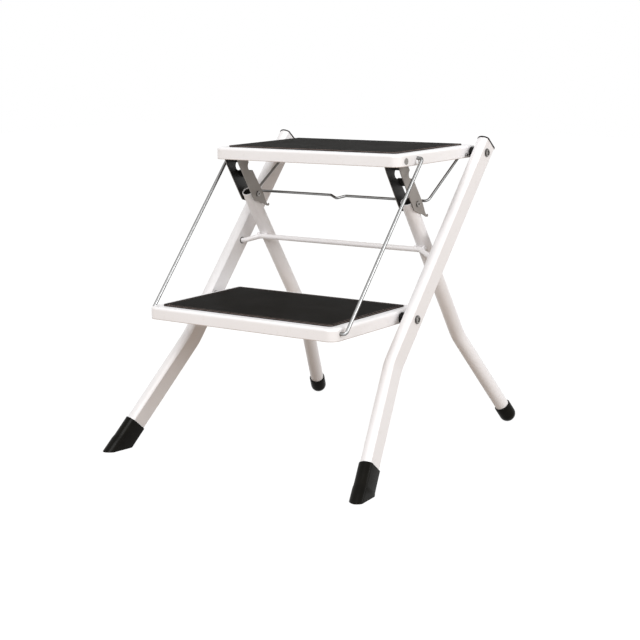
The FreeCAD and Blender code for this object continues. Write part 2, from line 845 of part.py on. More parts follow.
def centre_footprint():
    """Move everything along Y until the footprint's middle is over the origin."""
    reach = [point.y for item in pieces for point in item.Shape.tessellate(MESH_STEP)[0]]
    middle = (min(reach) + max(reach)) / 2
    for item in placed:
        item.Placement.move(Vector(0, -middle, 0))
    doc.recompute()
    return -middle


def check_document():
    for item in doc.Objects:
        if "Invalid" in item.State or "Error" in item.State:
            raise RuntimeError(f"{item.Label} failed: {item.State}")
    for item in pieces:
        if item.Shape.isNull() or not item.Shape.isValid() or not item.Shape.Solids:
            raise RuntimeError(f"{item.Label} has no valid solid")


def build():
    fill_sheets()
    front_legs()
    rear_legs()
    front_plugs()
    rear_plugs()
    front_feet()
    rear_feet()
    step_rivet("top_step_rivet", "top_y", "top_z")
    step_rivet("lower_step_rivet", "low_y", "low_z")
    spacer("top_spacer", "top_y", "top_z")
    spacer("lower_spacer", "low_y", "low_z")
    knee_sleeve()
    strut_rivet()
    knee_rivet()
    pivot_hole = ("0", "0", "rivet_diameter / 2 + clearance", "0")
    link_hole = "link_wire / 2 + clearance"
    tray("top_tray", "top_pan_overhang", "top_y", "top_z", [
        pivot_hole,
        ("-link_reach", "link_rise", link_hole, "link_slot"),
        ("-strut_reach", "0", "small_rivet / 2 + fit", "0"),
        ("-latch_reach", "-latch_drop", "latch_wire / 2 + clearance", "0"),
    ])
    tray("lower_tray", "lower_pan_overhang", "low_y", "low_z", [
        pivot_hole,
        ("-link_reach", "link_rise", link_hole, "0"),
    ])
    mat("top_mat", "top_pan_overhang", "top_y", "top_z")
    mat("lower_mat", "lower_pan_overhang", "low_y", "low_z")
    strut()
    cross_rod()
    link_wires()
    latch()
    layout.clear("D1")
    doc.recompute()
    shift = centre_footprint()
    check_document()
    print(f"main pivot at Y = {shift:.3f}")


def write_steps():
    os.makedirs("parts", exist_ok=True)
    for item in pieces:
        item.Shape.exportStep(f"parts/{item.Label}.step")
        box = item.Shape.BoundBox
        print(f"{item.Label}: {len(item.Shape.Solids)} solid, {item.Shape.Volume / 1000:.2f} cm3,"
              f" z {box.ZMin:.1f} to {box.ZMax:.1f}")


build()
write_steps()
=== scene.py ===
# %% [markdown]
# # A two-step folding stool
#
# The solids of the stool come ready made and to size. This lesson gives each of them its finish, models
# the small soft shapes that plain solids lack, and lights the stool like a picture in a catalogue.

# %% Load the solids
import json
import math

import bmesh
import bpy
from mathutils import Matrix, Vector


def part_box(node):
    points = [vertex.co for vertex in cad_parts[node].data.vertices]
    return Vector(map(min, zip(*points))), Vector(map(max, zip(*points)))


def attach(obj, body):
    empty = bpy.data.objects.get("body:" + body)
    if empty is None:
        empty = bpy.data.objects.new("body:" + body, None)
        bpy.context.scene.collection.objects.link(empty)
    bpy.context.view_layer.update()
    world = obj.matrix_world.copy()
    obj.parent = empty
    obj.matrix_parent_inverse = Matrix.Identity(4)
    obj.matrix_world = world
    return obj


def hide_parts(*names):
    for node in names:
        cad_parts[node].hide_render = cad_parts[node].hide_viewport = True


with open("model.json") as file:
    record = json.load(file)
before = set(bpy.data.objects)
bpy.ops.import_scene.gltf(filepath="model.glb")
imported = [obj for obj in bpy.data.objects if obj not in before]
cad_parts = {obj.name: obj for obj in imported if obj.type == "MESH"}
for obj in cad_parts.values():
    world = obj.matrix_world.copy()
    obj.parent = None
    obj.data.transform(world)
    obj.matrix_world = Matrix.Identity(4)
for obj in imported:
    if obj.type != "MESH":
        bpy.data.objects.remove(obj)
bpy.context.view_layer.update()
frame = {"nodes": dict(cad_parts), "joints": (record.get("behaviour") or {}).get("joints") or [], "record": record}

MM = 0.001
nodes = frame["nodes"]
print(f"{len(nodes)} solids loaded")

# %% [markdown]
# ## How a finish is built
#
# Every finish is a Principled shader with a few pattern nodes in front of it. Two helpers do most of the
# work: one starts a finish, the other adds a node and fills its sockets, with a link where the value is
# a socket. Patterns read Object coordinates. Each solid's object sits at the origin, so these are metres
# from the floor's middle, and a noise with a scale of 1000 has cells of about a millimetre.

# %% Helpers for finishes
def new_finish(name, metallic=0.0, specular=0.5):
    finish = bpy.data.materials.new(name)
    finish.use_nodes = True
    shader = finish.node_tree.nodes["Principled BSDF"]
    shader.inputs["Metallic"].default_value = metallic
    shader.inputs["Specular IOR Level"].default_value = specular
    place = finish.node_tree.nodes.new("ShaderNodeTexCoord").outputs["Object"]
    return finish, shader, place


def fill(finish, node, sockets):
    for name, value in sockets.items():
        socket = node.inputs[name]
        if isinstance(value, bpy.types.NodeSocket):
            finish.node_tree.links.new(value, socket)
        else:
            socket.default_value = value


def add(finish, kind, sockets, result=0, **settings):
    """Add a shader node and give back one of its outputs."""
    node = finish.node_tree.nodes.new("ShaderNode" + kind)
    for name, value in settings.items():
        setattr(node, name, value)
    fill(finish, node, sockets)
    return node.outputs[result]


def noise(finish, place, scale, detail=2.0):
    return add(finish, "TexNoise", {"Vector": place, "Scale": scale, "Detail": detail})


def spread(finish, value, low, high, start=0.0, end=1.0):
    """Stretch a value from start..end to low..high."""
    return add(finish, "MapRange", {"Value": value, "From Min": start, "From Max": end,
                                    "To Min": low, "To Max": high})


def blend(finish, share, first, second):
    """Mix two colours; each is a colour or a socket."""
    node = finish.node_tree.nodes.new("ShaderNodeMix")
    node.data_type = "RGBA"
    colours = [value if isinstance(value, bpy.types.NodeSocket) else (*value, 1)
               for value in (first, second)]
    fill(finish, node, {0: share, 6: colours[0], 7: colours[1]})
    return node.outputs[2]


def math_node(finish, operation, first, second=0.0):
    return add(finish, "Math", {0: first, 1: second}, operation=operation)


def bump(finish, shader, height, depth, strength=1.0, under=None):
    """Raise the surface by a pattern; depth is in metres."""
    sockets = {"Height": height, "Distance": depth, "Strength": strength}
    if under is not None:
        sockets["Normal"] = under
    normal = add(finish, "Bump", sockets)
    fill(finish, shader, {"Normal": normal})
    return normal


print("helpers for finishes ready")

# %% [markdown]
# ## White powder coat
#
# Powder coat is paint baked from dust. It is smooth to the eye, but a low light shows a fine pebbling,
# like the skin of an orange. The colour drifts by a hair, a little dust settles, and the gloss is soft
# and uneven. A texture could carry all this, but noise needs no unwrapping and never shows a seam. The
# trays get a lighter copy of the finish, which is painted light, with a thin brown line of painted shade
# along their lower rims.

# %% White powder coat
FRESH_COAT = (0.845, 0.83, 0.84)
# The trays' white is lighter than the coat's: painted light on the trays.
LIT_TRAY_COAT = (0.91, 0.9, 0.915)
AGED_COAT = (0.82, 0.8, 0.8)
DUST = (0.72, 0.69, 0.67)
# Painted shade: a thin brown line along the trays' lower rims.
RIM_SHADE = (0.36, 0.28, 0.23)
RIM_HEIGHTS = [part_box(tray)[0].z + 0.2 * MM for tray in ("top_tray", "lower_tray")]
RIM_HALF = 0.7 * MM


def height_lines(finish, place, heights, half_width):
    """1 near the given heights, 0 elsewhere."""
    height_here = add(finish, "SeparateXYZ", {"Vector": place}, result="Z")
    lines = 0.0
    for height in heights:
        near = add(finish, "Math", {0: height_here, 1: height, 2: half_width}, operation="COMPARE")
        lines = math_node(finish, "MAXIMUM", near, lines)
    return lines


def powder_coat(name, paint_or_lit_paint, rims=()):
    finish, shader, place = new_finish(name)
    tint = blend(finish, noise(finish, place, scale=9, detail=3), paint_or_lit_paint, AGED_COAT)
    settled = spread(finish, noise(finish, place, scale=160, detail=4), 0, 0.5, start=0.6, end=0.85)
    colour = blend(finish, settled, tint, DUST)
    # Painted shade along the trays' lower rims, as a thin brown line.
    if rims:
        line = spread(finish, height_lines(finish, place, rims, RIM_HALF), 0, 0.7)
        colour = blend(finish, line, colour, RIM_SHADE)
    fill(finish, shader, {
        "Base Color": colour,
        "Roughness": spread(finish, noise(finish, place, scale=45, detail=3), 0.28, 0.46),
    })
    shader.inputs["Coat Weight"].default_value = 0.15
    shader.inputs["Coat Roughness"].default_value = 0.2
    peel = bump(finish, shader, noise(finish, place, scale=620), depth=0.04 * MM, strength=0.6)
    bump(finish, shader, noise(finish, place, scale=70), depth=0.2 * MM, strength=0.15, under=peel)
    return finish


coat = powder_coat("white_powder_coat", FRESH_COAT)
# The trays' copy is lighter, as painted light, with painted shade along its lower rims.
painted_light_tray_coat = powder_coat("tray_coat_painted_light", LIT_TRAY_COAT, RIM_HEIGHTS)
for finish in (coat, painted_light_tray_coat):
    print(f"{finish.name}: {len(finish.node_tree.nodes)} nodes")

# %% [markdown]
# ## Plated steel
#
# The struts are zinc-plated sheet, dull and grey-brown, and dark inside where no light reaches. That dark
# is painted shade, placed by position: a point near the middle of a strut's width lies inside the channel,
# and the shade is left off faces that look back. The wires are drawn steel with a bright plate that shows
# its surroundings, with painted shade along both edges. The rivets are between the two, with painted shade
# on the rim round a bright flat head. Wires and rivets are all metal, so their colour is the colour of their
# reflection, and the roughness says how sharp it is. The dull zinc counts as half a metal, because its skin
# scatters light.

# %% Zinc-plated struts
ZINC_LIGHT = (0.31, 0.285, 0.265)
ZINC_DARK = (0.23, 0.21, 0.19)
ZINC_WORN = (0.4, 0.385, 0.37)
# Painted shade inside the struts' channels
CHANNEL_SHADE = (0.035, 0.034, 0.033)
STRUT_LOW, STRUT_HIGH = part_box("strut_right")
STRUT_MIDDLE = (STRUT_LOW.x + STRUT_HIGH.x) / 2
STRUT_GAUGE = 1.5 * MM
# The painted shade ends just inside the sheet, so that the flanges' inner faces are dark all over
STRUT_INSIDE = (STRUT_HIGH.x - STRUT_LOW.x) / 2 - STRUT_GAUGE + 0.1 * MM


def zinc_plate():
    finish, shader, place = new_finish("zinc_plate", metallic=0.45)
    cloud = noise(finish, place, scale=35, detail=4)
    grain = noise(finish, place, scale=900, detail=2)
    tint = blend(finish, cloud, ZINC_LIGHT, ZINC_DARK)
    worn = blend(finish, spread(finish, grain, 0, 0.35, start=0.5, end=0.9), tint, ZINC_WORN)
    across = math_node(finish, "ABSOLUTE", add(finish, "SeparateXYZ", {"Vector": place}, result="X"))
    off_middle = math_node(finish, "ABSOLUTE", math_node(finish, "SUBTRACT", across, STRUT_MIDDLE))
    inside = spread(finish, off_middle, 1, 0, start=STRUT_INSIDE, end=STRUT_INSIDE + 0.3 * MM)
    normal = add(finish, "TexCoord", {}, result="Normal")
    backward = add(finish, "SeparateXYZ", {"Vector": normal}, result="Y")
    # Painted shade: dark inside the channel, left off faces that look back
    channel_shade_mask = math_node(finish, "MINIMUM", inside, spread(finish, backward, 1, 0, start=0.2, end=0.5))
    fill(finish, shader, {
        "Base Color": blend(finish, channel_shade_mask, worn, CHANNEL_SHADE),
        "Roughness": spread(finish, cloud, 0.34, 0.55),
    })
    bump(finish, shader, grain, depth=0.03 * MM, strength=0.5)
    return finish


zinc = zinc_plate()
print(f"{zinc.name}: {len(zinc.node_tree.nodes)} nodes")

# %% Bright wires and rivets
WIRE_LIGHT = (0.47, 0.475, 0.48)
WIRE_DARK = (0.36, 0.36, 0.36)
# Painted shade along both edges of the wires.
WIRE_EDGE_SHADE = (0.09, 0.085, 0.075)
RIVET_LIGHT = (0.4, 0.38, 0.36)
RIVET_DARK = (0.24, 0.225, 0.21)
# Painted shade on the rim round each rivet's flat head.
RIVET_RIM_SHADE = (0.035, 0.032, 0.03)


def bright_wire():
    finish, shader, place = new_finish("bright_wire", metallic=1.0)
    drawn = noise(finish, place, scale=120, detail=3)
    core = blend(finish, drawn, WIRE_LIGHT, WIRE_DARK)
    # Painted shade: the wire's colour darkens towards its edges as seen.
    facing = add(finish, "LayerWeight", {"Blend": 0.5}, result="Facing")
    edge = spread(finish, facing, 0, 1, start=0.05, end=0.55)
    fill(finish, shader, {
        "Base Color": blend(finish, edge, core, WIRE_EDGE_SHADE),
        "Roughness": spread(finish, drawn, 0.27, 0.38),
    })
    bump(finish, shader, noise(finish, place, scale=900, detail=1), depth=0.005 * MM, strength=0.3)
    return finish


def rivet_steel():
    finish, shader, place = new_finish("rivet_steel", metallic=1.0)
    smear = noise(finish, place, scale=420, detail=3)
    head = blend(finish, smear, RIVET_LIGHT, RIVET_DARK)
    normal = add(finish, "TexCoord", {}, result="Normal")
    outward = math_node(finish, "ABSOLUTE", add(finish, "SeparateXYZ", {"Vector": normal}, result="X"))
    # Painted shade on faces that turn away from the head's flat.
    flat = spread(finish, outward, 0, 1, start=0.8, end=0.98)
    fill(finish, shader, {
        "Base Color": blend(finish, flat, RIVET_RIM_SHADE, head),
        "Roughness": spread(finish, smear, 0.24, 0.5),
    })
    bump(finish, shader, noise(finish, place, scale=1100), depth=0.03 * MM, strength=0.6)
    return finish


wire, rivet = bright_wire(), rivet_steel()
print(f"{wire.name} and {rivet.name} made")

# %% [markdown]
# ## Rubber and plastic
#
# Boots, caps and mats are black rubber: never quite black, with a fine skin and a wide soft shine. The
# mats are matt with a pebbled grip, and a pale line at the groove near the top of their edge is a painted
# highlight. The plugs and spacers are harder moulded plastic and shine a little more. One function with a
# few numbers makes the boots' and the plastic's black, so they stay alike in what they share, and the mats have
# their own.

# %% Rubber and plastic
BOOT_BLACK = (0.0045, 0.004, 0.003)
PLASTIC_BLACK = (0.0045, 0.0042, 0.004)
MAT_BLACK = (0.0065, 0.006, 0.005)
MAT_WORN = (0.01, 0.009, 0.008)
# A painted highlight: a pale line at the groove just under each mat's top.
GROOVE_HIGHLIGHT = (0.28, 0.22, 0.2)
GROOVE_HEIGHTS = [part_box(mat)[1].z - 0.35 * MM for mat in ("top_mat", "lower_mat")]
GROOVE_HALF = 0.25 * MM


def black_finish(name, colour, roughness, grain, depth, specular):
    finish, shader, place = new_finish(name, specular=specular)
    cloud = noise(finish, place, scale=55, detail=3)
    pale = tuple(value * 1.5 for value in colour)
    fill(finish, shader, {
        "Base Color": blend(finish, spread(finish, cloud, 0, 1, start=0.35, end=0.7), colour, pale),
        "Roughness": spread(finish, cloud, roughness - 0.08, roughness + 0.1),
    })
    bump(finish, shader, noise(finish, place, grain), depth, strength=0.7)
    return finish


def mat_rubber():
    finish, shader, place = new_finish("mat_rubber", specular=0.012)
    cloud = noise(finish, place, scale=18, detail=4)
    field = blend(finish, cloud, MAT_BLACK, MAT_WORN)
    # Painted highlight along the groove near each mat's top.
    groove = spread(finish, height_lines(finish, place, GROOVE_HEIGHTS, GROOVE_HALF), 0, 0.8)
    fill(finish, shader, {
        "Base Color": blend(finish, groove, field, GROOVE_HIGHLIGHT),
        "Roughness": spread(finish, cloud, 0.52, 0.7),
    })
    pebble = add(finish, "TexVoronoi", {"Vector": place, "Scale": 780.0}, result="Distance")
    bump(finish, shader, pebble, depth=0.12 * MM, strength=0.6)
    return finish


boot_rubber = black_finish("boot_rubber", BOOT_BLACK, roughness=0.26, grain=800, depth=0.03 * MM,
                           specular=0.07)
moulded_black = black_finish("moulded_black", PLASTIC_BLACK, roughness=0.28, grain=1000, depth=0.02 * MM,
                             specular=0.12)
mat_finish = mat_rubber()
print(f"{boot_rubber.name}, {moulded_black.name} and {mat_finish.name} made")

# %% Give every solid its finish
FINISHES = {
    "white_coat": coat,
    "zinc_strut": zinc,
    "bright_wire": wire,
    "rivet_steel": rivet,
    "black_plastic": moulded_black,
    "boot_rubber": boot_rubber,
    "mat_rubber": mat_finish,
}
slot_of = {part["node"]: part["material_slot"] for part in frame["record"]["subparts"]}
for name, solid in nodes.items():
    solid.data.materials.clear()
    solid.data.materials.append(painted_light_tray_coat if name.endswith("tray") else FINISHES[slot_of[name]])
print(f"{len(nodes)} solids finished")

# %% [markdown]
# ## Boots and caps
#
# The legs end in moulded rubber. Its edges are rounded all round, and light runs along them, which a cut
# solid can't show. A boot starts as the outline of the front tube, a D whose nose is spun from a single
# point. The D is pushed out into a block ring by ring, cut off at the floor, and its ridges and the
# sole's edge are bevelled. The toe that is left is still sharp, and no bevel rounds a corner where many
# edges meet. So the toe is divided finely, and each of its points moves towards the middle of its
# neighbours a few times. A brush in Sculpt Mode would do the same by hand. A cap is round, like the rear
# tube, so it is spun from its side view.

# %% The outline of a D tube
NOSE_STEPS = 20
CORNER_STEPS = 4


def arc(shape, start, centre, angle, steps, axis=(0, 0, 1)):
    """Spin one point about an axis into a chain of edges, and give back the chain's last point."""
    spun = bmesh.ops.spin(shape, geom=[start], cent=centre, axis=axis, angle=angle, steps=steps)
    return next(item for item in spun["geom_last"] if isinstance(item, bmesh.types.BMVert))


def d_outline(half, rear, side, peak, corner):
    """A flat D: the nose points to -Y, and the back has round corners.

    half is half its width. rear, side and peak say how far behind the middle the back lies, and how far in
    front of it the nose begins and ends. corner is the radius of the back corners.
    """
    shape = bmesh.new()
    nose = (half ** 2 + (peak - side) ** 2) / (2 * (peak - side))
    left = shape.verts.new((-half, -side, 0))
    right = arc(shape, left, (0, nose - peak, 0), 2 * math.asin(half / nose), NOSE_STEPS)
    low_right = shape.verts.new((half, rear - corner, 0))
    back_right = arc(shape, low_right, (half - corner, rear - corner, 0), math.pi / 2, CORNER_STEPS)
    back_left = shape.verts.new((corner - half, rear, 0))
    low_left = arc(shape, back_left, (corner - half, rear - corner, 0), math.pi / 2, CORNER_STEPS)
    for ends in ((right, low_right), (back_right, back_left), (low_left, left)):
        shape.edges.new(ends)
    bmesh.ops.contextual_create(shape, geom=shape.edges[:])
    return shape


print(f"a D outline has {NOSE_STEPS + 2 * CORNER_STEPS + 3} points")

# %% Push out, round off and finish a shape
TINY = 0.01 * MM


def push_out(shape, rings):
    """Extrude the flat face of a D down through rings of (drop, width share, nose share)."""
    face = shape.faces[:]
    width, nose = 1.0, 1.0
    for drop, next_width, next_nose in rings:
        grown = bmesh.ops.extrude_face_region(shape, geom=face)["geom"]
        points = [item for item in grown if isinstance(item, bmesh.types.BMVert)]
        bmesh.ops.translate(shape, verts=points, vec=(0, 0, -drop))
        bmesh.ops.scale(shape, verts=points, vec=(next_width / width, next_nose / nose, 1))
        bmesh.ops.delete(shape, geom=face, context="FACES_ONLY")
        face = [item for item in grown if isinstance(item, bmesh.types.BMFace)]
        width, nose = next_width, next_nose


def bevel(shape, edges, width, steps):
    bmesh.ops.bevel(shape, geom=edges, offset=width, offset_type="OFFSET", segments=steps, profile=0.5,
                    affect="EDGES", clamp_overlap=True, material=-1)


def finish_piece(shape, name, finish, body, smooth_angle=35):
    """Turn a finished shape into an object that rides on a body."""
    bmesh.ops.remove_doubles(shape, verts=shape.verts[:], dist=TINY)
    bmesh.ops.recalc_face_normals(shape, faces=shape.faces[:])
    mesh = bpy.data.meshes.new(name)
    shape.to_mesh(mesh)
    shape.free()
    mesh.materials.append(finish)
    mesh.shade_smooth()
    mesh.set_sharp_from_angle(angle=math.radians(smooth_angle))
    piece = bpy.data.objects.new(name, mesh)
    bpy.context.scene.collection.objects.link(piece)
    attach(piece, body)
    return piece


print(f"points closer than {TINY / MM:.2f} mm are merged")

# %% Where the feet stand
FRONT_END = (222.816, -216.49, 14.0)
FRONT_LEAN, FRONT_SPLAY = -41.2, -10.4
REAR_END = (188.025, 239.896, 14.0)
REAR_LEAN, REAR_SPLAY = 32.4, -13.6
SIDES = ("right", "left")


def stand(place, lean, splay=0):
    """Put a shape at a place in millimetres, leaned about X and then splayed about its own Y."""
    tilt = Matrix.Rotation(math.radians(lean), 4, "X") @ Matrix.Rotation(math.radians(splay), 4, "Y")
    return Matrix.Translation(Vector(place) * MM) @ tilt


def to_side(shape, side):
    """Every piece is modelled on the right, and mirrored for the left."""
    if side == "left":
        bmesh.ops.scale(shape, verts=shape.verts[:], vec=(-1, 1, 1))


def cut_at_floor(shape):
    """Cut off what lies under the floor, and close the shape."""
    geometry = shape.verts[:] + shape.edges[:] + shape.faces[:]
    bmesh.ops.bisect_plane(shape, geom=geometry, plane_co=(0, 0, 0), plane_no=(0, 0, -1), clear_outer=True)
    bmesh.ops.holes_fill(shape, edges=[edge for edge in shape.edges if edge.is_boundary])


def edges_near(shape, test):
    return [edge for edge in shape.edges if all(test(point.co) for point in edge.verts)]


print(f"front legs end at {FRONT_END} mm, rear legs at {REAR_END} mm")

# %% Boots on the front legs
# The front tube's outline in millimetres from its middle line
TUBE_HALF = 8.7
TUBE_REAR = 14.8
TUBE_SIDE = 11.4
TUBE_PEAK = 15.0
TUBE_CORNER = 2.2
BOOT_TOP = 30.28 * MM
BOOT_WALL = 1.9
BOOT_RINGS = [(24, 1.0, 1.0), (9, 1.01, 1.0), (6, 1.05, 1.06), (32, 1.06, 1.1)]
RIDGE_ANGLE = math.radians(30)
RIDGE_ROUND, SOLE_ROUND = 1.1 * MM, 1.2 * MM
TOE_HEIGHT, TOE_START = 15 * MM, -236 * MM
TOE_DIVISIONS, TOE_PASSES = 2, 14


def in_toe(point):
    return point.z < TOE_HEIGHT and point.y < TOE_START


def net_sole(shape):
    """Fill the sole with triangles from its edge alone, so that the net is the same each time."""
    sole = [face for face in shape.faces if all(point.co.z < TINY for point in face.verts)]
    edge_of_sole = [edge for face in sole for edge in face.edges]
    bmesh.ops.delete(shape, geom=sole, context="FACES_ONLY")
    bmesh.ops.triangle_fill(shape, edges=edge_of_sole, use_beauty=True, normal=(0, 0, -1))


def round_toe(shape):
    """Cut the toe's faces up finely and let its points settle between their neighbours."""
    net_sole(shape)
    bmesh.ops.triangulate(shape, faces=shape.faces[:])
    for _ in range(TOE_DIVISIONS):
        bmesh.ops.subdivide_edges(shape, edges=edges_near(shape, in_toe), cuts=1, use_grid_fill=True)
        bmesh.ops.triangulate(shape, faces=shape.faces[:])
    toe = [point for point in shape.verts if in_toe(point.co)]
    for _ in range(TOE_PASSES):
        bmesh.ops.smooth_vert(shape, verts=toe, factor=0.5, use_axis_x=True, use_axis_y=True,
                              use_axis_z=True)


def boot(side):
    shape = d_outline((TUBE_HALF + BOOT_WALL) * MM, (TUBE_REAR + BOOT_WALL) * MM, TUBE_SIDE * MM,
                      (TUBE_PEAK + BOOT_WALL) * MM, (TUBE_CORNER + BOOT_WALL) * MM)
    bmesh.ops.translate(shape, verts=shape.verts[:], vec=(0, 0, BOOT_TOP))
    push_out(shape, [(drop * MM, width, nose) for drop, width, nose in BOOT_RINGS])
    ridges = [edge for edge in shape.edges
              if len(edge.link_faces) == 2 and edge.calc_face_angle() > RIDGE_ANGLE
              and abs(edge.verts[0].co.z - edge.verts[1].co.z) > MM]
    bevel(shape, ridges, RIDGE_ROUND, steps=3)
    shape.transform(stand(FRONT_END, FRONT_LEAN, FRONT_SPLAY))
    cut_at_floor(shape)
    sole = edges_near(shape, lambda point: point.z < TINY)
    bevel(shape, sole, SOLE_ROUND, steps=2)
    round_toe(shape)
    to_side(shape, side)
    piece = finish_piece(shape, f"boot_{side}", boot_rubber, "front_frame")
    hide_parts(f"front_foot_{side}")
    return piece


for side in SIDES:
    print(f"{boot(side).name} made")

# %% Caps on the rear legs
CAP_TOP = 16.6 * MM
CAP_RADIUS = 13 * MM
CAP_STRAIGHT = 1.9 * MM
RIM_ROUND = 0.7 * MM
CAP_SIDES, DOME_STEPS = 48, 12


def cap(side):
    """A round cap: its side view is drawn from the top's middle to the dome's bottom, and spun."""
    shape = bmesh.new()
    middle = shape.verts.new((0, 0, CAP_TOP))
    rim = shape.verts.new((CAP_RADIUS, 0, CAP_TOP))
    shoulder = shape.verts.new((CAP_RADIUS, 0, -CAP_STRAIGHT))
    arc(shape, shoulder, (0, 0, -CAP_STRAIGHT), math.pi / 2, DOME_STEPS, axis=(0, 1, 0))
    shape.edges.new((middle, rim))
    shape.edges.new((rim, shoulder))
    bmesh.ops.spin(shape, geom=shape.verts[:] + shape.edges[:], cent=(0, 0, 0), axis=(0, 0, 1),
                   angle=2 * math.pi, steps=CAP_SIDES, use_merge=True)
    bmesh.ops.remove_doubles(shape, verts=shape.verts[:], dist=TINY)
    top = edges_near(shape, lambda point: point.z > CAP_TOP - TINY and point.xy.length > CAP_RADIUS - TINY)
    bevel(shape, top, RIM_ROUND, steps=3)
    shape.transform(stand(REAR_END, REAR_LEAN, REAR_SPLAY))
    cut_at_floor(shape)
    to_side(shape, side)
    piece = finish_piece(shape, f"cap_{side}", boot_rubber, "rear_frame", smooth_angle=50)
    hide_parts(f"rear_foot_{side}")
    return piece


for side in SIDES:
    print(f"{cap(side).name} made")

# %% [markdown]
# ## Cross rod and latch wire
#
# The rod joins the rear legs, and its ends are cranked to reach the holes in the front legs. Seen up
# close the cranks are long and straight, with a gentle slope. The latch wire has a wide shallow dip for
# the finger. Both could be curves with a round profile, but a circle that is pushed along straight runs
# and spun round each bend gives even rings and a plain mesh.

# %% Bending a wire
WIRE_SIDES, BEND_STEPS = 28, 8


def run(shape, ring, heading, length):
    """Push a ring of edges straight on."""
    grown = bmesh.ops.extrude_edge_only(shape, edges=ring)["geom"]
    points = [item for item in grown if isinstance(item, bmesh.types.BMVert)]
    bmesh.ops.translate(shape, verts=points, vec=heading * length)
    return [item for item in grown
            if isinstance(item, bmesh.types.BMEdge) and all(point in points for point in item.verts)]


def turn(shape, ring, centre, angle):
    """Spin a ring of edges round a bend."""
    spun = bmesh.ops.spin(shape, geom=ring, cent=centre, axis=(0, 0, 1), angle=angle, steps=BEND_STEPS)
    return [item for item in spun["geom_last"] if isinstance(item, bmesh.types.BMEdge)]


def bent_wire(radius, start, bend, moves):
    """A wire in the XY plane that begins at start on the X axis and heads for -X.

    It follows pairs of a straight run in millimetres and a turn in radians, with the radius bend.
    """
    shape = bmesh.new()
    bmesh.ops.create_circle(shape, cap_ends=False, segments=WIRE_SIDES, radius=radius * MM)
    bmesh.ops.rotate(shape, verts=shape.verts[:], matrix=Matrix.Rotation(math.pi / 2, 3, "Y"))
    middle, heading = Vector((start * MM, 0, 0)), Vector((-1, 0, 0))
    bmesh.ops.translate(shape, verts=shape.verts[:], vec=middle)
    ring = shape.edges[:]
    for length, angle in moves:
        ring = run(shape, ring, heading, length * MM)
        middle += heading * length * MM
        if angle:
            left = Vector((-heading.y, heading.x, 0))
            centre = middle + left * math.copysign(bend * MM, angle)
            ring = turn(shape, ring, centre, angle)
            swing = Matrix.Rotation(angle, 3, "Z")
            middle = centre + swing @ (middle - centre)
            heading = swing @ heading
    bmesh.ops.remove_doubles(shape, verts=shape.verts[:], dist=TINY)
    bmesh.ops.holes_fill(shape, edges=[edge for edge in shape.edges if edge.is_boundary])
    return shape


print(f"a wire has {WIRE_SIDES} sides, and {BEND_STEPS} steps to a bend")

# %% Cross rod
pivots = {joint["name"]: Vector(joint["pos_m"]) / MM for joint in frame["joints"]}
ROD_PLACE = pivots["rear_frame_fold"]
ROD_RADIUS = 4.0
ROD_BACK = 13.6
ROD_BEND = 14.0
ROD_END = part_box("cross_rod")[1].x / MM
CRANK_OUTER, CRANK_INNER = 175.0, 151.0


def cross_rod():
    slope = math.atan2(ROD_BACK, CRANK_OUTER - CRANK_INNER)
    lead = ROD_BEND * math.tan(slope / 2)
    end = ROD_END - CRANK_OUTER - lead
    crank = math.hypot(ROD_BACK, CRANK_OUTER - CRANK_INNER) - 2 * lead
    middle = 2 * (CRANK_INNER - lead)
    moves = [(end, -slope), (crank, slope), (middle, slope), (crank, -slope), (end, 0)]
    shape = bent_wire(ROD_RADIUS, ROD_END, ROD_BEND, moves)
    shape.transform(stand(ROD_PLACE, REAR_LEAN))
    piece = finish_piece(shape, "cranked_rod", coat, "rear_frame", smooth_angle=50)
    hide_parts("cross_rod")
    return piece


print(f"{cross_rod().name} made, {2 * ROD_END:.0f} mm from end to end")

# %% Latch wire
LATCH_PLACE, LATCH_LEAN = pivots["latch_fold"], -56.6
LATCH_RADIUS, LATCH_BEND = 2.0, 6.0
LATCH_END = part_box("latch_wire")[1].x / MM
ARM_ACROSS, ARM_LENGTH = 161.2, 111.2
DIP_HALF, DIP_DEPTH = 14.0, 7.0


def latch_wire():
    quarter = math.pi / 2
    slope = math.atan2(DIP_DEPTH, DIP_HALF)
    side_lead = LATCH_BEND * math.tan(slope / 2)
    foot_lead = LATCH_BEND * math.tan(slope)
    end = LATCH_END - ARM_ACROSS - LATCH_BEND
    arm = ARM_LENGTH - 2 * LATCH_BEND
    bar = ARM_ACROSS - LATCH_BEND - DIP_HALF - side_lead
    dip = math.hypot(DIP_HALF, DIP_DEPTH) - side_lead - foot_lead
    moves = [(end, quarter), (arm, -quarter), (bar, slope), (dip, -2 * slope), (dip, slope),
             (bar, -quarter), (arm, quarter), (end, 0)]
    shape = bent_wire(LATCH_RADIUS, LATCH_END, LATCH_BEND, moves)
    bmesh.ops.rotate(shape, verts=shape.verts[:], matrix=Matrix.Rotation(quarter, 3, "X"))
    shape.transform(stand(LATCH_PLACE, LATCH_LEAN))
    slot = slot_of["latch_wire"]
    piece = finish_piece(shape, "dipped_latch_wire", FINISHES[slot], "latch", smooth_angle=50)
    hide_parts("latch_wire")
    return piece


print(f"{latch_wire().name} made, {2 * LATCH_END:.0f} mm from end to end")

# %% [markdown]
# ## Welds
#
# The cross rod is welded to the front of both rear legs. A weld is a small lumpy bead under the paint,
# and without it the rod seems to float against the legs. It could be sculpted, but a flattened ball with
# a wave of lumps, one at each side of the leg, is enough at this size.

# %% Weld beads
BEAD_PLACES = (141.5, 156.0)
BEAD_BACK = ROD_BACK + 2.5
BEAD_SIZE = Vector((3.4, 4.4, 4.6)) * MM
LUMP_HEIGHT, LUMP_ACROSS, LUMP_UP = 0.07, 900, 1300


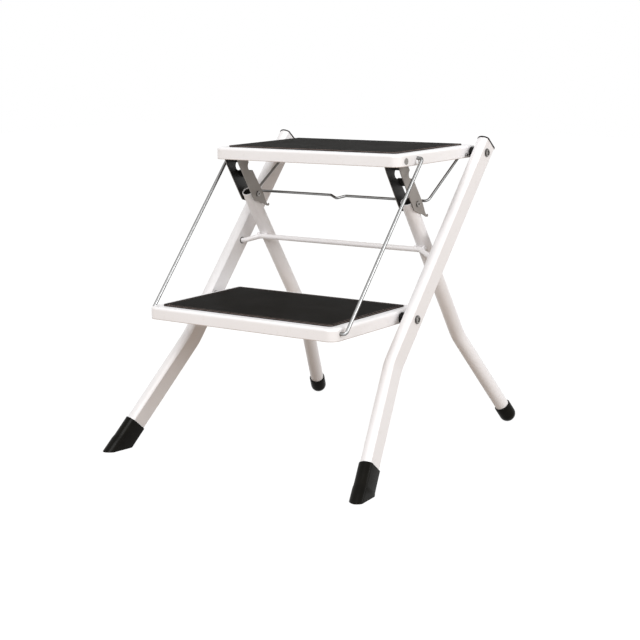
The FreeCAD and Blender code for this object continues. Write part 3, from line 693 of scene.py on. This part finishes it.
def weld(side, number, across):
    shape = bmesh.new()
    bmesh.ops.create_uvsphere(shape, u_segments=20, v_segments=12, radius=1)
    bmesh.ops.scale(shape, verts=shape.verts[:], vec=BEAD_SIZE)
    for point in shape.verts:
        point.co *= 1 + LUMP_HEIGHT * math.sin(LUMP_ACROSS * point.co.x + LUMP_UP * point.co.z)
    bmesh.ops.translate(shape, verts=shape.verts[:], vec=(across * MM, BEAD_BACK * MM, 0))
    shape.transform(stand(ROD_PLACE, REAR_LEAN))
    to_side(shape, side)
    return finish_piece(shape, f"weld_{side}_{number}", coat, "rear_frame", smooth_angle=80)


for side in SIDES:
    for number, across in enumerate(BEAD_PLACES, 1):
        print(f"{weld(side, number, across).name} made")

# %% [markdown]
# ## Shade rings
#
# The rod's ends turn in holes in the front legs. A thin black ring lines each hole as painted shade, the
# dark of the gap round the rod, and its edge shows as a dark ring. It could be a disc with a hole cut in it,
# but four corner points spun about the rod's axis give the ring at once, with nothing to clean up.

# %% Shade rings round the cross rod
# The black ring is painted shade round the rod in each hole.
SHADE_RING_INNER, SHADE_RING_OUTER = 4.05, 5.3
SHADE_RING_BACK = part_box("front_leg_right")[0].x / MM
SHADE_RING_FACE = SHADE_RING_BACK - 0.5
SHADE_RING_SIDES = 32


def bush(side):
    """A flat ring on the leg's inner face, spun about X from its four corners."""
    shape = bmesh.new()
    corners = [(SHADE_RING_FACE, SHADE_RING_INNER), (SHADE_RING_FACE, SHADE_RING_OUTER),
               (SHADE_RING_BACK, SHADE_RING_OUTER), (SHADE_RING_BACK, SHADE_RING_INNER)]
    points = [shape.verts.new((across * MM, 0, radius * MM)) for across, radius in corners]
    for number, point in enumerate(points):
        shape.edges.new((point, points[(number + 1) % len(points)]))
    bmesh.ops.spin(shape, geom=shape.verts[:] + shape.edges[:], cent=(0, 0, 0), axis=(1, 0, 0),
                   angle=2 * math.pi, steps=SHADE_RING_SIDES, use_merge=True)
    bmesh.ops.remove_doubles(shape, verts=shape.verts[:], dist=TINY)
    shape.transform(Matrix.Translation(ROD_PLACE * MM))
    to_side(shape, side)
    return finish_piece(shape, f"rod_shade_ring_{side}", moulded_black, "front_frame")


for side in SIDES:
    print(f"{bush(side).name} made")

# %% [markdown]
# ## Floor and sky
#
# A catalogue picture stands the object on seamless white. A curved paper backdrop would do, with much
# light on it. Here the floor shows white to the camera and in reflections, with a trace of its real
# shading, so the stool keeps its shadow. For all other light it is a dim warm grey, so the undersides
# stay darker than the tops. The sky is white to the camera too, and lights the stool softly from all
# round.

# %% Floor and sky
FLOOR_HALF = 6
FLOOR_GLOW = 1.08
SHADOW_SHARE = 0.12
FLOOR_SHADED = (0.95, 0.95, 0.95, 1)
FLOOR_DIM = (0.3, 0.22, 0.155, 1)
SKY_LIGHT, SKY_SEEN = 0.62, 1.0


def seen_rays(owner):
    """1 for what the camera sees, straight, mirrored or through glass, and 0 for all other light."""
    seen = 0.0
    for kind in ("Is Camera Ray", "Is Glossy Ray", "Is Transmission Ray"):
        seen = math_node(owner, "MAXIMUM", add(owner, "LightPath", {}, result=kind), seen)
    return seen


def white_floor():
    finish = bpy.data.materials.new("white_floor")
    finish.use_nodes = True
    finish.node_tree.nodes.clear()
    white = add(finish, "Emission", {"Color": (1, 1, 1, 1), "Strength": FLOOR_GLOW})
    shaded = add(finish, "BsdfDiffuse", {"Color": FLOOR_SHADED})
    backdrop = add(finish, "MixShader", {0: SHADOW_SHARE, 1: white, 2: shaded})
    dim = add(finish, "BsdfDiffuse", {"Color": FLOOR_DIM})
    surface = add(finish, "MixShader", {0: seen_rays(finish), 1: dim, 2: backdrop})
    output = finish.node_tree.nodes.new("ShaderNodeOutputMaterial")
    fill(finish, output, {"Surface": surface})
    return finish


def white_sky():
    sky = bpy.data.worlds.new("sky")
    sky.use_nodes = True
    strength = spread(sky, seen_rays(sky), SKY_LIGHT, SKY_SEEN)
    fill(sky, sky.node_tree.nodes["Background"], {"Color": (1, 1, 1, 1), "Strength": strength})
    return sky


shape = bmesh.new()
bmesh.ops.create_grid(shape, x_segments=1, y_segments=1, size=FLOOR_HALF)
floor_mesh = bpy.data.meshes.new("floor")
shape.to_mesh(floor_mesh)
shape.free()
floor_mesh.materials.append(white_floor())
floor = bpy.data.objects.new("floor", floor_mesh)
bpy.context.scene.collection.objects.link(floor)
bpy.context.scene.world = white_sky()
print(f"a floor {2 * FLOOR_HALF} m wide and a sky made")

# %% [markdown]
# ## Lamps and camera
#
# Two large lamps model the round fronts of the tubes, one from the front and one from the right. Small
# lamps would draw hard bright lines on the paint, and a large one gives each tube a wide soft shine.
#
# The camera stands a good two metres away, a little above the stool, with a long lens. Its place comes
# from a fit of the stool's known corners to the picture, and the small shift sets the stool where the
# picture has it.

# %% Lamps
LAMP_TARGET = Vector((0, 0, 0.25))
LAMPS = {
    "front_lamp": (Vector((0.4, -2.6, 2.2)), 1.6, 60),
    "right_lamp": (Vector((2.8, 0.2, 1.4)), 1.4, 40),
}


def lamp(name, place, size, power):
    light = bpy.data.lights.new(name, "AREA")
    light.size = size
    light.energy = power
    holder = bpy.data.objects.new(name, light)
    holder.location = place
    holder.rotation_euler = (LAMP_TARGET - place).to_track_quat("-Z", "Y").to_euler()
    bpy.context.scene.collection.objects.link(holder)


for name, (place, size, power) in LAMPS.items():
    lamp(name, place, size, power)
    print(f"{name}: {power} W over {size} m")

# %% Camera
CAMERA_PLACE = (1.33124, -1.82462, 0.62353)
YAW, PITCH, ROLL = 36.36, -11.42, -0.91
LENS = 84.25
SHIFT_ACROSS, SHIFT_UP = 0.0044, 0.0188

camera_data = bpy.data.cameras.new("camera")
camera_data.sensor_width = 36
camera_data.lens = LENS
camera_data.shift_x = SHIFT_ACROSS
camera_data.shift_y = SHIFT_UP
camera_data.dof.use_dof = False
camera = bpy.data.objects.new("camera", camera_data)
camera.matrix_world = (
    Matrix.Translation(CAMERA_PLACE)
    @ Matrix.Rotation(math.radians(YAW), 4, "Z")
    @ Matrix.Rotation(math.radians(90 + PITCH), 4, "X")
    @ Matrix.Rotation(math.radians(ROLL), 4, "Z")
)
bpy.context.scene.collection.objects.link(camera)
bpy.context.scene.camera = camera
bpy.context.scene.view_settings.view_transform = "Standard"
print(f"camera {LENS} mm")
